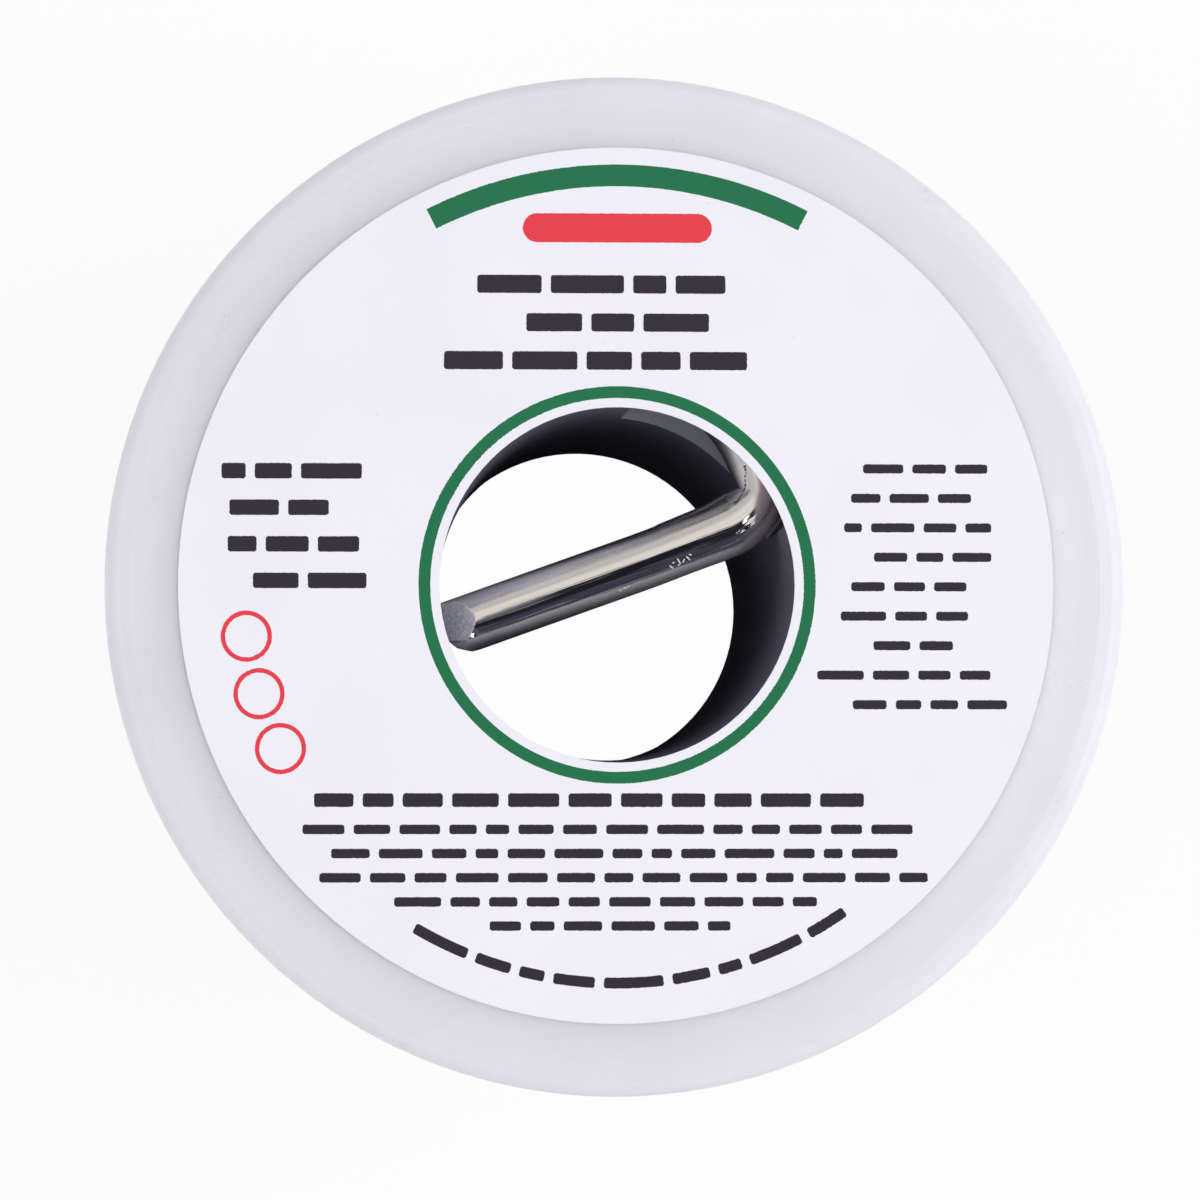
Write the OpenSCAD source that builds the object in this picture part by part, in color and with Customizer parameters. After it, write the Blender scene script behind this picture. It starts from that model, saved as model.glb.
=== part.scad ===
// A flanged plastic spool of solder wire, in millimetres, +Z up.
// The spool stands on its rear label. The origin is on the bore's axis, at the floor.
// The hub's entry notch and the wire's inner end are at the front, which is the top.

/* [Solder wire] */
// Diameter of the solder wire
wire_d = 3.175; // [2.4:0.025:4]
// Layers of wire on the hub
layers = 5; // [2:1:6]
// Turns in the outer layer
turns = 11; // [6:1:16]
// Gap between neighbouring turns of one layer
turn_gap = 0.12; // [0.1:0.01:0.6]
// Gap between the outer turns and the layers under them
layer_gap = 0.1; // [0.05:0.01:0.3]
// Gap between the wound wire and each flange
side_gap = 0.1; // [0.05:0.05:1]
// Angle round the axis where the outer layer starts and ends
outer_start_angle = 28; // [0:1:359]

/* [Hub tube] */
// Bore that takes the spindle of a wire rack
bore_d = 19.05; // [17:0.05:24]
// How far the bore's radius widens towards each mouth
mouth_flare = 0.225; // [0.05:0.025:0.6]
// Wall of the tube at its ends
hub_wall = 1.75; // [1.2:0.05:3]
// Gap between the tube and what sits on it
hub_fit = 0.05; // [0.01:0.01:0.2]
// How far the tapered mouths reach past the lowest corner of the entry notch
mouth_spare = 0.5; // [0.1:0.1:3]

/* [Flanges] */
// Thickness of a flange's plate beside the label seat
flange_t = 1.8; // [1.8:0.1:3]
// Height of the label seat above the plate
seat_h = 0.45; // [0.2:0.05:1]
// Thickness of the flange at its rounded rim
rim_t = 1.7; // [1.2:0.1:1.8]
// How far the rim stands out past the wound wire
rim_over = 2.4; // [1:0.1:6]
// Width of the bare ring round the label seat
ring_w = 3.975; // [3.6:0.025:7]
// Width of the hollow curve that runs from the seat down to the ring
cove_w = 2.6; // [1.4:0.1:2.9]

/* [Labels] */
// Thickness of the label paper
label_t = 0.12; // [0.08:0.01:0.3]
// How far the label stays inside the edge of its seat
label_inset = 0.065; // [0.02:0.005:1]

/* [Entry notch and inner end of the wire] */
// Angle round the axis of the notch's middle, anticlockwise from +X
notch_angle = 54; // [0:1:359]
// Slope of the notch's floor, down towards the bend in the wire
notch_tilt = 18; // [0:1:22]
// Depth of the notch's floor below the wire, at the notch's middle
notch_spare = 2.6; // [2.2:0.1:5]
// Gap between the wire and each side of the notch
notch_clear = 0.22; // [0.1:0.02:0.6]
// Gap between the flange's inner face and the wire in the notch
tail_drop = 0.65; // [0.2:0.05:2]
// How far inside the hub's outer radius the wire's centre is where the bend starts
tail_inset = 0.98; // [0.6:0.02:1.6]
// Distance along the notch from its middle to the start of the bend
tail_aside = 2.62; // [2:0.02:3]
// Radius of the gentle curve that leads the wire in
lead_in_r = 9; // [8.6:0.1:12]
// Angle of that curve
lead_in_turn = 30; // [24:1:31]
// Radius of the sharp bend
bend_r = 2.7; // [2.2:0.05:3.5]
// Angle of the sharp bend
bend_turn = 89.7; // [80:0.1:96]
// Heading of the wire at the start of the bend, clockwise from the notch's own direction
bend_heading = 34.6; // [30:0.1:40]
// Gap between the wire's cut end and the far wall of the bore
end_gap = 0.15; // [0.1:0.05:2]
// Slant of the cut at the wire's end
cut_slant = 28; // [0:1:40]

/* [Hidden] */

wire_r = wire_d / 2;
SMOOTH = 96;       // facets of round shapes
PAST = 1;          // how far a cutting shape runs past what it cuts
LOOP_RINGS = 24;   // rings of the outer layer's tube in one turn
LOOP_SIDES = 6;    // sides of the outer layer's tube
END_SIDES = 20;    // sides of the tube that is the wire's inner end
BEND_STEP = 7;     // about how many degrees of a bend lie between two rings

// Radii, from the bore outwards
bore_r = bore_d / 2;
mouth_r = bore_r + mouth_flare;
hub_r = mouth_r + hub_wall;
layer_step = wire_d * sqrt(3) / 2;  // each layer lies in the grooves of the one below
outer_turn_r = hub_r + wire_r + (layers - 1) * layer_step;
// The outer layer's tube runs straight from ring to ring, so its inner side dips between them
inner_layers_r = (outer_turn_r - wire_r) * cos(180 / LOOP_RINGS) - layer_gap;
wound_r = outer_turn_r + wire_r;
flange_r = wound_r + rim_over;
seat_r = flange_r - ring_w;
label_r = seat_r - label_inset;

// Heights, from the floor up
turn_pitch = wire_d + turn_gap;
wound_w = turns * turn_pitch + wire_d;
inner_w = wound_w + 2 * side_gap;
full_flange_t = flange_t + seat_h;
hub_z = label_t;
hub_l = inner_w + 2 * full_flange_t;
rear_face_z = hub_z + full_flange_t;
front_face_z = rear_face_z + inner_w;
front_seat_z = hub_z + hub_l;

// The notch and the wire's inner end, in a frame whose +X runs clockwise along the notch
// and whose +Y points out through the middle of it
tail_z = front_face_z - tail_drop - wire_r;
bend_start = [tail_aside, sqrt(pow(hub_r - tail_inset, 2) - pow(tail_aside, 2))];
start_dir = [cos(bend_heading), -sin(bend_heading)];
cross_heading = bend_heading + bend_turn;
cross_dir = [cos(cross_heading), -sin(cross_heading)];
function right_of(dir) = [dir.y, -dir.x];
bend_centre = bend_start + bend_r * right_of(start_dir);
lead_in_centre = bend_start + lead_in_r * right_of(start_dir);
bend_end = bend_centre - bend_r * right_of(cross_dir);
lead_in_heading = bend_heading - lead_in_turn;
lead_in_dir = [cos(lead_in_heading), -sin(lead_in_heading)];
// The wire leaves the first layer in a straight run, one wire diameter long
wire_start = lead_in_centre - lead_in_r * right_of(lead_in_dir) - wire_d * lead_in_dir;
// The straight stretch crosses the bore, and its slanted cut stops short of the far wall
cross_offset = cross(bend_end, cross_dir);
tip_reach = sqrt(pow(bore_r, 2) - pow(cross_offset, 2)) - end_gap;
cut_centre = bend_end + (tip_reach - wire_r * tan(cut_slant) - bend_end * cross_dir) * cross_dir;
notch_start = wire_start.x - notch_clear;
notch_end = bend_centre.x + bend_r + wire_r + notch_clear;
notch_floor_z = tail_z - wire_r - notch_spare;
// Each mouth of the bore tapers past the lowest corner of the notch
mouth_l = front_seat_z - notch_floor_z + notch_end * tan(notch_tilt) + mouth_spare;

// One ring of a tube, whose first corner lies straight out from the centre
function ring(centre, dir, out, sides) = [
    for (k = [0:sides - 1])
        let (a = k * 360 / sides)
        centre + wire_r * (cos(a) * out + sin(a) * cross(dir, out))
];

// The wire's inner end lies level. These are its rings, from the first layer to the cut
UP = [0, 0, 1];
function level(p) = [p.x, p.y, 0];
function level_ring(centre, dir) = ring(level(centre), level(dir), UP, END_SIDES);
// The rings of a bend, without the one that it starts from
function bend_rings(centre, radius, from, turn) =
    let (steps = ceil(turn / BEND_STEP))
    [
        for (i = [1:steps])
            let (h = from + i * turn / steps, dir = [cos(h), -sin(h)])
            level_ring(centre - radius * right_of(dir), dir)
    ];
// The cut is slanted, so that the wire reaches farther at its lower side
cut_ring = [
    for (p = level_ring(cut_centre, cross_dir))
        p - p.z * tan(cut_slant) * level(cross_dir)
];
inner_end_rings = concat(
    [for (s = [0, wire_d]) level_ring(wire_start + s * lead_in_dir, lead_in_dir)],
    bend_rings(lead_in_centre, lead_in_r, lead_in_heading, lead_in_turn),
    bend_rings(bend_centre, bend_r, bend_heading, bend_turn),
    [cut_ring]
);

// The outer layer starts at the front flange and winds anticlockwise to the rear one
first_turn_z = front_face_z - side_gap - wire_r;
turn_rings = turns * LOOP_RINGS;
climb = atan(turn_pitch / (2 * PI * outer_turn_r));
function turn_angle(i) = outer_start_angle + i * 360 / LOOP_RINGS;
function turn_centre(i) = [
    outer_turn_r * cos(turn_angle(i)),
    outer_turn_r * sin(turn_angle(i)),
    first_turn_z - turn_pitch * i / LOOP_RINGS
];
function turn_dir(i) = [
    -sin(turn_angle(i)) * cos(climb),
    cos(turn_angle(i)) * cos(climb),
    -sin(climb)
];
function turn_out(i) = [cos(turn_angle(i)), sin(turn_angle(i)), 0];
// The hexagon's flat sides face the turns beside it
function turn_ring(i, past) =
    ring(turn_centre(i) + past * turn_dir(i), turn_dir(i), turn_out(i), LOOP_SIDES);
// Both ends of the tube run on straight for one wire diameter
outer_rings = [
    turn_ring(0, -wire_d),
    for (i = [0:turn_rings]) turn_ring(i, 0),
    turn_ring(turn_rings, wire_d)
];
least_turn_gap = min([
    for (i = [0:len(outer_rings) - LOOP_RINGS - 1])
        for (j = [i + LOOP_RINGS - 1:min(i + LOOP_RINGS + 1, len(outer_rings) - 1)])
            for (p = outer_rings[i])
                for (q = outer_rings[j])
                    norm(p - q)
]);
echo(least_gap_of_the_outer_layer_to_itself = least_turn_gap);

// A closed tube through rings of points, all with the same number of corners
module tube(rings) {
    sides = len(rings[0]);
    last = len(rings) - 1;
    points = [for (r = rings) for (p = r) p];
    walls = [
        for (i = [0:last - 1])
            for (k = [0:sides - 1])
                let (a = i * sides + k, b = i * sides + (k + 1) % sides)
                each [[a, b, b + sides], [a, b + sides, a + sides]]
    ];
    caps = [
        for (k = [1:sides - 2])
            each [[0, k + 1, k], [last * sides, last * sides + k, last * sides + k + 1]]
    ];
    polyhedron(points, concat(walls, caps));
}

// Turns from the notch's own frame to the spool's
module in_notch_frame(z) {
    translate([0, 0, z]) rotate([0, 0, notch_angle - 90]) children();
}

// Half of the hub's bore, from a mouth to the start of its straight middle
module bore_mouth() {
    cylinder(h = mouth_l, r1 = mouth_r, r2 = bore_r, $fn = SMOOTH);
}

// Everything above the notch's sloping floor, between its two upright sides
module notch() {
    intersection() {
        in_notch_frame(notch_floor_z)
            rotate([0, notch_tilt, 0])
                translate([-hub_r, 0, 0])
                    cube([2 * hub_r, 2 * hub_r, hub_l]);
        in_notch_frame(0)
            translate([notch_start, 0, 0])
                cube([notch_end - notch_start, 2 * hub_r, 2 * hub_l]);
    }
}

// The hub is an extruded tube with a notch in its front end, through which the wire comes in
module hub_tube() {
    color([0.03, 0.03, 0.05])
        difference() {
            translate([0, 0, hub_z]) cylinder(h = hub_l, r = hub_r, $fn = SMOOTH);
            translate([0, 0, hub_z - PAST]) cylinder(h = hub_l + 2 * PAST, r = bore_r, $fn = SMOOTH);
            translate([0, 0, hub_z]) bore_mouth();
            translate([0, 0, front_seat_z]) mirror([0, 0, 1]) bore_mouth();
            notch();
        }
}

// Half section of a flange, from its hole outwards, with its inner face at zero height
module flange_section() {
    cove_end_r = seat_r + cove_w;
    cove_r = (pow(cove_w, 2) + pow(seat_h, 2)) / (2 * seat_h);  // a long shallow arc
    rim_centre_r = flange_r - rim_t / 2;
    translate([hub_r + hub_fit, 0]) square([seat_r - hub_r - hub_fit, full_flange_t]);
    difference() {
        translate([seat_r, 0]) square([cove_w, full_flange_t]);
        translate([cove_end_r, flange_t + cove_r]) circle(r = cove_r, $fn = 4 * SMOOTH);
    }
    polygon([[cove_end_r, 0], [rim_centre_r, 0], [rim_centre_r, rim_t], [cove_end_r, flange_t]]);
    translate([rim_centre_r, rim_t / 2]) circle(d = rim_t, $fn = SMOOTH);
}

module flange() {
    rotate_extrude($fn = SMOOTH) flange_section();
}

module front_flange() {
    color([0.89, 0.89, 0.93]) translate([0, 0, front_face_z]) flange();
}

module rear_flange() {
    color([0.89, 0.89, 0.93]) translate([0, 0, rear_face_z]) mirror([0, 0, 1]) flange();
}

// A round paper label with a hole as wide as the bore's mouth
module label() {
    difference() {
        cylinder(h = label_t, r = label_r, $fn = SMOOTH);
        translate([0, 0, -PAST]) cylinder(h = label_t + 2 * PAST, r = mouth_r, $fn = SMOOTH);
    }
}

module front_label() {
    color([0.95, 0.94, 0.97]) translate([0, 0, front_seat_z]) label();
}

module rear_label() {
    color([0.95, 0.94, 0.97]) label();
}

// The layers under the outer one, as one plain core, with a pocket for the wire's inner end
module solder_inner_layers() {
    pocket = [notch_end - notch_start, wire_start.y + wire_r + layer_gap, inner_w];
    color([0.62, 0.61, 0.62])
        difference() {
            translate([0, 0, rear_face_z + side_gap])
                cylinder(h = wound_w, r = inner_layers_r, $fn = SMOOTH);
            translate([0, 0, rear_face_z])
                cylinder(h = inner_w, r = hub_r + hub_fit, $fn = SMOOTH);
            in_notch_frame(tail_z)
                translate([notch_start, 0, -wire_r - layer_gap])
                    cube(pocket);
        }
}

module solder_outer_layer() {
    color([0.72, 0.71, 0.71]) tube(outer_rings);
}

// The wire comes in through the notch, bends sharply and crosses the bore to its cut end
module solder_inner_end() {
    color([0.72, 0.71, 0.71]) in_notch_frame(tail_z) tube(inner_end_rings);
}

hub_tube();
front_flange();
rear_flange();
front_label();
rear_label();
solder_inner_layers();
solder_outer_layer();
solder_inner_end();
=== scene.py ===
# %% [markdown]
# # A spool of solder wire
# This file dresses a finished model of a wire spool. The model's solids are loaded first and
# never move: the hub tube, two flanges, two labels and the wire. Each cell then does one job,
# such as winding the wire, mixing the milky plastic or printing the label.

# %% Load the solids
import math

import bpy
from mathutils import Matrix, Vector


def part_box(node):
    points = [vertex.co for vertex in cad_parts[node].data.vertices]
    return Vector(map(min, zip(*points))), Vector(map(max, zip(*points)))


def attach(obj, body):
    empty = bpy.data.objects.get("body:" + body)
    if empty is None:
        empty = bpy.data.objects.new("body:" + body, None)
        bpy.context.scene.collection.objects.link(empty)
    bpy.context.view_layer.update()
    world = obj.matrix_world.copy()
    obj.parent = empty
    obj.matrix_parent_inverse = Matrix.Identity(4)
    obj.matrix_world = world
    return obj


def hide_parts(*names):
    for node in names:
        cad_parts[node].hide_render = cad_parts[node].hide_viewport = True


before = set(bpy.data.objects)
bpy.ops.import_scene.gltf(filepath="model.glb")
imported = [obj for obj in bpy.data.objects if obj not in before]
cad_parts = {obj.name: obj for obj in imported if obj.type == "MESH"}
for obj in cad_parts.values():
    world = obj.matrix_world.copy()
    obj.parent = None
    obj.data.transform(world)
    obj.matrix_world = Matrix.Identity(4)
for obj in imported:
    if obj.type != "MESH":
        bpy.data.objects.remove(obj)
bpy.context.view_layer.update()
print("solids:", sorted(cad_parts))

# %% [markdown]
# ## Measures
# Blender works in metres. The wire's diameter is the one size that everything else depends on.
# The places of the flanges and the radius of the winding are read from the solids, so that the
# new pieces fit between them.

# %% Measures of the spool
MM = 0.001
WIRE_D = 3.175 * MM
WIRE_R = WIRE_D / 2
FLANGE_GAP = 0.1 * MM      # between the wound wire and a flange
TURN_PITCH = 3.295 * MM    # from one turn to the next
TURNS = 11                 # turns in one layer
LAYER_STEP = 3.2 * MM      # from one layer to the next, where the turns cross
START_ANGLE = math.radians(28)

front_face_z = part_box("front_flange")[0].z
rear_face_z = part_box("rear_flange")[1].z
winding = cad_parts["solder_outer_layer"].data.vertices
wound_r = max(math.hypot(v.co.x, v.co.y) for v in winding)
outer_r = wound_r - WIRE_R
first_z = front_face_z - FLANGE_GAP - WIRE_R
print("winding radius mm:", round(wound_r / MM, 2), "first turn at z mm:", round(first_z / MM, 2))

# %% [markdown]
# ## Bending a wire
# A wire is a circle swept along a line. A curve object does that by itself: its points are the
# line and its bevel is the circle. The curve is then made a mesh. The drawn metal has fine lines
# that run along the wire, so every point of the mesh also stores where it would lie if the wire
# were pulled straight: how far to its side, how far up and how far along. The solder's pattern
# reads that, and so it follows every bend.


# %% A helper that bends a wire
UP = Vector((0, 0, 1))


def deselect_all():
    if bpy.context.object and bpy.context.object.mode != "OBJECT":
        bpy.ops.object.mode_set(mode="OBJECT")
    bpy.ops.object.select_all(action="DESELECT")


def select_only(piece):
    deselect_all()
    piece.select_set(True)
    bpy.context.view_layer.objects.active = piece


def smooth(piece, angle=35):
    select_only(piece)
    bpy.ops.object.shade_smooth_by_angle(angle=math.radians(angle))


def bend_wire(name, route, sides):
    """A closed round wire along a list of points. A bevel has 2 * (resolution + 2) sides."""
    deselect_all()
    bpy.ops.curve.primitive_nurbs_path_add()
    piece = bpy.context.object
    piece.name = name
    piece.location = (0, 0, 0)
    curve = piece.data
    curve.splines.clear()
    spline = curve.splines.new("POLY")
    spline.points.add(len(route) - 1)
    for i, place in enumerate(route):
        spline.points[i].co = (*place, 1)
        spline.points[i].radius = 1
    curve.dimensions = "3D"
    curve.bevel_depth = WIRE_R
    curve.bevel_resolution = sides // 2 - 2
    bpy.ops.object.convert(target="MESH")
    piece = bpy.context.object
    store_straight_places(piece.data, route, sides)
    bpy.ops.object.mode_set(mode="EDIT")
    bpy.ops.mesh.select_all(action="SELECT")
    bpy.ops.mesh.fill_holes(sides=0)
    bpy.ops.mesh.normals_make_consistent(inside=False)
    bpy.ops.object.mode_set(mode="OBJECT")
    smooth(piece)
    print(name, "faces:", len(piece.data.polygons))
    return piece


def store_straight_places(mesh, route, sides):
    """Stores for each point where it would lie on the straightened wire, in metres."""
    along = 0.0
    places = []
    for i, here in enumerate(route):
        before = route[max(i - 1, 0)]
        after = route[min(i + 1, len(route) - 1)]
        forward = (after - before).normalized()
        side = forward.cross(UP).normalized()
        up = side.cross(forward)
        if i > 0:
            along += (here - before).length
        for vertex in mesh.vertices[i * sides : (i + 1) * sides]:
            out = vertex.co - here
            places += [out.dot(side), out.dot(up), along]
    straight = mesh.attributes.new("straight", "FLOAT_VECTOR", "POINT")
    straight.data.foreach_set("vector", places)


# %% [markdown]
# ## The outer layer
# Wire is wound on to a spool while a guide moves slowly sideways. Each turn mostly lies beside
# the one before it and then steps over in a short stretch, so the turns look parallel all round
# except in one place. A wire of even slope would be simpler, but it looks like a screw thread.
# The layer starts against the front flange, where the wire climbs out of the layer below, and its
# free end lies against the rear flange. The wire of the two layers is two pieces, which meet end
# to end part of a turn before the climb, where an outer turn lies over the joint.

# %% Places on a wound layer
RINGS_PER_TURN = 72
STEP_SHARE = 0.6        # how much of each sideways move is made in the short stretch
STEP_MIDDLE = 0.52      # where in the turn that stretch lies
STEP_WIDTH = 0.22
CLIMB = math.radians(46)
JOINT_RINGS = 30        # how far before the climb the piece of the layer below ends
lower_r = outer_r - LAYER_STEP


def eased(x):
    x = min(max(x, 0.0), 1.0)
    return x * x * (3 - 2 * x)


def step_done(part):
    """How much of its sideways step the wire has made, at that part of a turn."""
    return eased((part - STEP_MIDDLE) / STEP_WIDTH + 0.5)


def sideways(turn):
    """How many pitches the wire has moved sideways after that many turns."""
    whole = math.floor(turn)
    part = turn - whole
    return whole + (1 - STEP_SHARE) * part + STEP_SHARE * step_done(part)


def layer_point(angle, radius, z):
    return Vector((radius * math.cos(angle), radius * math.sin(angle), z))


def lower_place(ring):
    """A point of the layer below, that many rings before the climb."""
    turn = ring / RINGS_PER_TURN
    angle = START_ANGLE - CLIMB - turn * 2 * math.pi
    return layer_point(angle, lower_r, first_z - TURN_PITCH * sideways(turn))


print("radius of the layer below mm:", round(lower_r / MM, 2))

# %% Wind the outer layer
OUTER_SIDES = 20
CLIMB_RINGS = 12
STEP_BULGE = 0.12 * MM       # how far a turn stands out where it steps over
UNEVEN_OUT = 0.03 * MM       # no turn lies quite even
UNEVEN_ALONG = 0.02 * MM
FREE_END = 4.5 * MM          # the last stretch, which springs away from the layer
END_RINGS = 9
END_SPREAD = 0.25            # how far it springs away, as a share of its length


def waver(turn, seed):
    """A slow, small irregularity between -1 and 1 that is the same on every run."""
    return 0.6 * math.sin(2.9 * turn + seed) + 0.4 * math.sin(7.3 * turn + 2.1 * seed)


def climb_places():
    """The last of the layer below, and then the climb on to it."""
    places = [lower_place(ring) for ring in range(JOINT_RINGS, 0, -1)]
    for i in range(CLIMB_RINGS):
        part = i / CLIMB_RINGS
        angle = START_ANGLE - CLIMB * (1 - part)
        places.append(layer_point(angle, outer_r - LAYER_STEP * (1 - eased(part)), first_z))
    return places


def wound_places():
    places = []
    for i in range(TURNS * RINGS_PER_TURN + 1):
        turn = i / RINGS_PER_TURN
        angle = START_ANGLE + turn * 2 * math.pi
        bulge = STEP_BULGE * math.sin(math.pi * step_done(turn % 1))
        bulge += UNEVEN_OUT * waver(turn, seed=1.3)
        z = first_z - TURN_PITCH * sideways(turn) + UNEVEN_ALONG * waver(turn, seed=4.0)
        places.append(layer_point(angle, outer_r + bulge, z))
    return places


def free_end_places(before, end):
    forward = (end - before).normalized()
    forward.z = 0
    out = Vector((end.x, end.y, 0)).normalized()
    places = []
    for i in range(1, END_RINGS + 1):
        run = FREE_END * i / END_RINGS
        places.append(end + forward * run + out * END_SPREAD * run * run / FREE_END)
    return places


outer_places = climb_places() + wound_places()
outer_places += free_end_places(*outer_places[-2:])
outer_turns = bend_wire("solder_outer_turns", outer_places, OUTER_SIDES)

# %% [markdown]
# ## The layer below
# Through the fine gaps, and beside the place where the outer layer starts and ends, the layer
# below shows. It is wound the same way round, but from the rear flange to the front one. The
# layers under that don't show, so they are one drum with a ribbed outside, made by spinning a
# profile round the axis. The profile's own face is deleted first, or the spin would leave a copy
# of it inside the drum at every step.

# %% Wind the layer below
LOWER_SIDES = 14
lower_places = [lower_place(ring) for ring in range(TURNS * RINGS_PER_TURN, JOINT_RINGS - 1, -1)]
lower_turns = bend_wire("solder_inner_turns", lower_places, LOWER_SIDES)

# %% Draw the profile of the hidden layers
DRUM_INNER_R = 15.4 * MM
DRUM_GAP = 0.1 * MM          # between the drum and the layer round it
RIB_DEPTH = 0.7 * MM
RIBS = 12
RIB_POINTS = 4
CLOSE = 0.01 * MM            # points nearer than this count as the same place
drum_outer_r = lower_r - WIRE_R - DRUM_GAP


def draw_profile():
    """A flat rectangle on one side of the axis, with ribs along its outer edge."""
    deselect_all()
    length = front_face_z - rear_face_z - 4 * FLANGE_GAP
    middle_z = (front_face_z + rear_face_z) / 2
    bpy.ops.mesh.primitive_plane_add(size=1, rotation=(math.pi / 2, 0, 0))
    profile = bpy.context.object
    profile.name = "solder_hidden_layers"
    profile.location = ((drum_outer_r + DRUM_INNER_R) / 2, 0, middle_z)
    profile.scale = (drum_outer_r - DRUM_INNER_R, length, 1)
    bpy.ops.object.transform_apply(location=True, rotation=True, scale=True)
    bpy.ops.object.mode_set(mode="EDIT")
    bpy.ops.mesh.select_mode(type="EDGE")
    bpy.ops.mesh.select_all(action="DESELECT")
    bpy.ops.object.mode_set(mode="OBJECT")
    mesh = profile.data
    for edge in mesh.edges:
        ends = [mesh.vertices[k].co for k in edge.vertices]
        edge.select = all(abs(p.x - drum_outer_r) < CLOSE for p in ends)
    bpy.ops.object.mode_set(mode="EDIT")
    bpy.ops.mesh.subdivide(number_cuts=RIBS * RIB_POINTS - 1)
    bpy.ops.object.mode_set(mode="OBJECT")
    low_z = middle_z - length / 2
    for vertex in mesh.vertices:
        if abs(vertex.co.x - drum_outer_r) < CLOSE:
            part = (vertex.co.z - low_z) / length * RIBS
            vertex.co.x -= RIB_DEPTH * abs(math.cos(math.pi * part))
    print("points of the profile:", len(mesh.vertices))
    return profile


drum = draw_profile()

# %% Spin it into a drum
SPIN_STEPS = 72
MERGE = 0.001 * MM


def spin_profile(profile):
    bpy.ops.object.mode_set(mode="EDIT")
    bpy.ops.mesh.select_all(action="SELECT")
    bpy.ops.mesh.delete(type="ONLY_FACE")
    bpy.ops.mesh.select_all(action="SELECT")
    bpy.ops.mesh.spin(steps=SPIN_STEPS, angle=2 * math.pi, center=(0, 0, 0), axis=(0, 0, 1))
    bpy.ops.mesh.select_all(action="SELECT")
    bpy.ops.mesh.remove_doubles(threshold=MERGE)
    bpy.ops.mesh.select_all(action="SELECT")
    bpy.ops.mesh.normals_make_consistent(inside=False)
    bpy.ops.object.mode_set(mode="OBJECT")
    smooth(profile)
    print("drum faces:", len(profile.data.polygons))


spin_profile(drum)

# %% [markdown]
# ## The wire's inner end
# The first end of the wire comes in through the notch in the hub, is bent sharply by hand and
# crosses the bore. The route is walked like a turtle: so far straight, so far round a curve. The
# part that lies on the hub, under the other layers, is a loose turn and a half, because it shows
# through the notch.

# %% Measures of the inner end
INNER_Z = (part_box("solder_inner_end")[0].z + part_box("solder_inner_end")[1].z) / 2
INNER_START = Vector((3.066, 12.613)) * MM     # where the wire leaves the first layer
INNER_HEADING = math.radians(-40.6)
FIRST_LAYER_R = 13.6 * MM
FIRST_LAYER_TURNS = 1.6
DIVE_RINGS = 8
CURVE_STEP = 0.235 * MM
STRAIGHT_STEP = 0.8 * MM
LEAD_IN_R = 9.0 * MM
LEAD_IN_TURN = math.radians(30)
BEND_R = 2.7 * MM
BEND_TURN = math.radians(89.7)
SWAY_LENGTH = 2.0 * MM       # then the wire sways a little to the left
SWAY_TURN = math.radians(1.9)
CROSS_LENGTH = 14.5 * MM - WIRE_R     # to past the cut, which is made later
STRETCHES = [       # from the hub to the tip: length, and the angle that it turns right by
    (WIRE_D, 0),
    (LEAD_IN_R * LEAD_IN_TURN, LEAD_IN_TURN),
    (BEND_R * BEND_TURN, BEND_TURN),
    (WIRE_R, 0),
    (SWAY_LENGTH, -SWAY_TURN),
    (SWAY_LENGTH, SWAY_TURN),
    (CROSS_LENGTH, 0),
]
print("bend mm:", round(BEND_R / MM, 2), "degrees:", round(math.degrees(BEND_TURN), 1))


# %% Helpers that walk it
def steps_in(length, turn):
    """A straight stretch needs few rings, a curve needs many."""
    return max(2, round(length / (CURVE_STEP if turn else STRAIGHT_STEP)))


def walk(place, heading, length, turn):
    """Points along a stretch of that length, turning right by that angle in all."""
    count = steps_in(length, turn)
    places = []
    for _ in range(count):
        heading -= turn / count / 2
        place = place + Vector((math.cos(heading), math.sin(heading))) * (length / count)
        heading -= turn / count / 2
        places.append(place)
    return places, place, heading


def dive_circle():
    """The circle that joins the first layer to the straight stretch in the notch."""
    right = Vector((math.sin(INNER_HEADING), -math.cos(INNER_HEADING)))
    start_r = INNER_START.length
    radius = (FIRST_LAYER_R**2 - start_r**2) / (2 * (FIRST_LAYER_R + INNER_START.dot(right)))
    return INNER_START + radius * right, radius


def hub_places(join_angle):
    """The loose turns on the hub, as flat places and heights."""
    flat, heights = [], []
    count = round(FIRST_LAYER_TURNS * RINGS_PER_TURN)
    for i in range(count):
        back = (count - i) / RINGS_PER_TURN
        angle = join_angle + back * 2 * math.pi
        flat.append(Vector((math.cos(angle), math.sin(angle))) * FIRST_LAYER_R)
        heights.append(INNER_Z - TURN_PITCH * back)
    return flat, heights


def dive_places(join, centre, radius):
    """The way round that circle, from the hub into the notch."""
    end_turn = (join - centre).angle_signed(INNER_START - centre)
    places = []
    for i in range(DIVE_RINGS):
        angle = math.atan2(join.y - centre.y, join.x - centre.x) - end_turn * i / DIVE_RINGS
        places.append(centre + radius * Vector((math.cos(angle), math.sin(angle))))
    return places


# %% Walk the inner end's route
INNER_SIDES = 32


def inner_route():
    centre, radius = dive_circle()
    join = centre.normalized() * FIRST_LAYER_R
    flat, heights = hub_places(math.atan2(join.y, join.x))
    flat += dive_places(join, centre, radius)
    flat.append(INNER_START)
    bend_rings = None
    place, heading = INNER_START, INNER_HEADING
    for length, turn in STRETCHES:
        places, place, heading = walk(place, heading, length, turn)
        if turn == BEND_TURN:
            bend_rings = range(len(flat), len(flat) + len(places))
        flat += places
    heights += [INNER_Z] * (len(flat) - len(heights))
    return [Vector((p.x, p.y, z)) for p, z in zip(flat, heights)], bend_rings, heading


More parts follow.
